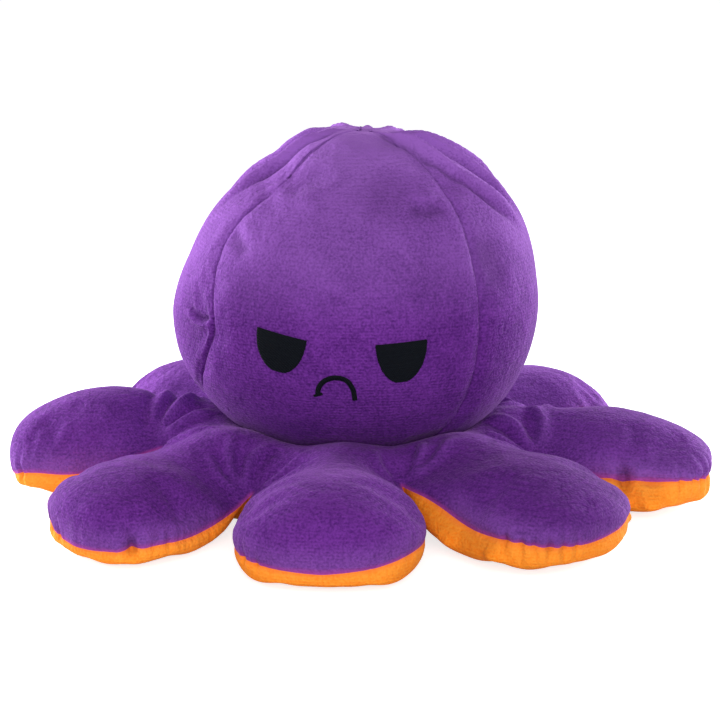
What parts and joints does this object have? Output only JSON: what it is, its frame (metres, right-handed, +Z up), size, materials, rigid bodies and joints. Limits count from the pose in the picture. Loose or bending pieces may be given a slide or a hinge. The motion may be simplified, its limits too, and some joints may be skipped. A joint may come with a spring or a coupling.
{
  "type": "plush octopus",
  "caption": "Round-headed plush octopus that turns inside out, with stuffed two-colour legs that lift and droop, an embroidered face and a lined hollow up inside the head.",
  "frame": {"origin": "middle of the footprint, on the floor that the toy rests on", "axes": "+Z up through the crown of the head, -Y out through the face, +X towards the side of the face that is on the right in the picture"},
  "size_m": [0.3858, 0.396, 0.204],
  "materials": {
    "purple_plush": "matte",
    "orange_plush": "matte",
    "fibre_filling": "matte",
    "black_thread": "satin"
  },
  "bodies": {
    "root": {"head_panel_front": "purple_plush", "head_panel_right": "purple_plush", "head_panel_back": "purple_plush", "head_panel_left": "purple_plush", "lining_panel_front": "orange_plush", "lining_panel_right": "orange_plush", "lining_panel_back": "orange_plush", "lining_panel_left": "orange_plush", "head_stuffing": "fibre_filling", "eye_left": "black_thread", "eye_right": "black_thread", "mouth": "black_thread", "inner_eye_left": "black_thread", "inner_eye_right": "black_thread", "inner_mouth": "black_thread", "yoke_top": "purple_plush", "yoke_underside": "orange_plush", "yoke_stuffing": "fibre_filling"},
    "leg_front": {"leg_front_top": "purple_plush", "leg_front_underside": "orange_plush", "leg_front_stuffing": "fibre_filling"},
    "leg_front_right": {"leg_front_right_top": "purple_plush", "leg_front_right_underside": "orange_plush", "leg_front_right_stuffing": "fibre_filling"},
    "leg_right": {"leg_right_top": "purple_plush", "leg_right_underside": "orange_plush", "leg_right_stuffing": "fibre_filling"},
    "leg_back_right": {"leg_back_right_top": "purple_plush", "leg_back_right_underside": "orange_plush", "leg_back_right_stuffing": "fibre_filling"},
    "leg_back": {"leg_back_top": "purple_plush", "leg_back_underside": "orange_plush", "leg_back_stuffing": "fibre_filling"},
    "leg_back_left": {"leg_back_left_top": "purple_plush", "leg_back_left_underside": "orange_plush", "leg_back_left_stuffing": "fibre_filling"},
    "leg_left": {"leg_left_top": "purple_plush", "leg_left_underside": "orange_plush", "leg_left_stuffing": "fibre_filling"},
    "leg_front_left": {"leg_front_left_top": "purple_plush", "leg_front_left_underside": "orange_plush", "leg_front_left_stuffing": "fibre_filling"}
  },
  "joints": [
    {"name": "leg_front_lift", "type": "hinge", "parent": "root", "child": "leg_front", "pos_m": [0, -0.092, 0.0215], "axis": [-1, 0, 0], "range_deg": [-30, 40], "stiffness_Nm_per_rad": 0.06},
    {"name": "leg_front_right_lift", "type": "hinge", "parent": "root", "child": "leg_front_right", "pos_m": [0.06505, -0.06505, 0.0215], "axis": [-0.7071, -0.7071, 0], "range_deg": [-30, 40], "stiffness_Nm_per_rad": 0.06},
    {"name": "leg_right_lift", "type": "hinge", "parent": "root", "child": "leg_right", "pos_m": [0.092, 0, 0.0215], "axis": [0, -1, 0], "range_deg": [-30, 40], "stiffness_Nm_per_rad": 0.06},
    {"name": "leg_back_right_lift", "type": "hinge", "parent": "root", "child": "leg_back_right", "pos_m": [0.06505, 0.06505, 0.0215], "axis": [0.7071, -0.7071, 0], "range_deg": [-30, 40], "stiffness_Nm_per_rad": 0.06},
    {"name": "leg_back_lift", "type": "hinge", "parent": "root", "child": "leg_back", "pos_m": [0, 0.092, 0.0215], "axis": [1, 0, 0], "range_deg": [-30, 40], "stiffness_Nm_per_rad": 0.06},
    {"name": "leg_back_left_lift", "type": "hinge", "parent": "root", "child": "leg_back_left", "pos_m": [-0.06505, 0.06505, 0.0215], "axis": [0.7071, 0.7071, 0], "range_deg": [-30, 40], "stiffness_Nm_per_rad": 0.06},
    {"name": "leg_left_lift", "type": "hinge", "parent": "root", "child": "leg_left", "pos_m": [-0.092, 0, 0.0215], "axis": [0, 1, 0], "range_deg": [-30, 40], "stiffness_Nm_per_rad": 0.06},
    {"name": "leg_front_left_lift", "type": "hinge", "parent": "root", "child": "leg_front_left", "pos_m": [-0.06505, -0.06505, 0.0215], "axis": [-0.7071, 0.7071, 0], "range_deg": [-30, 40], "stiffness_Nm_per_rad": 0.06}
  ]
}
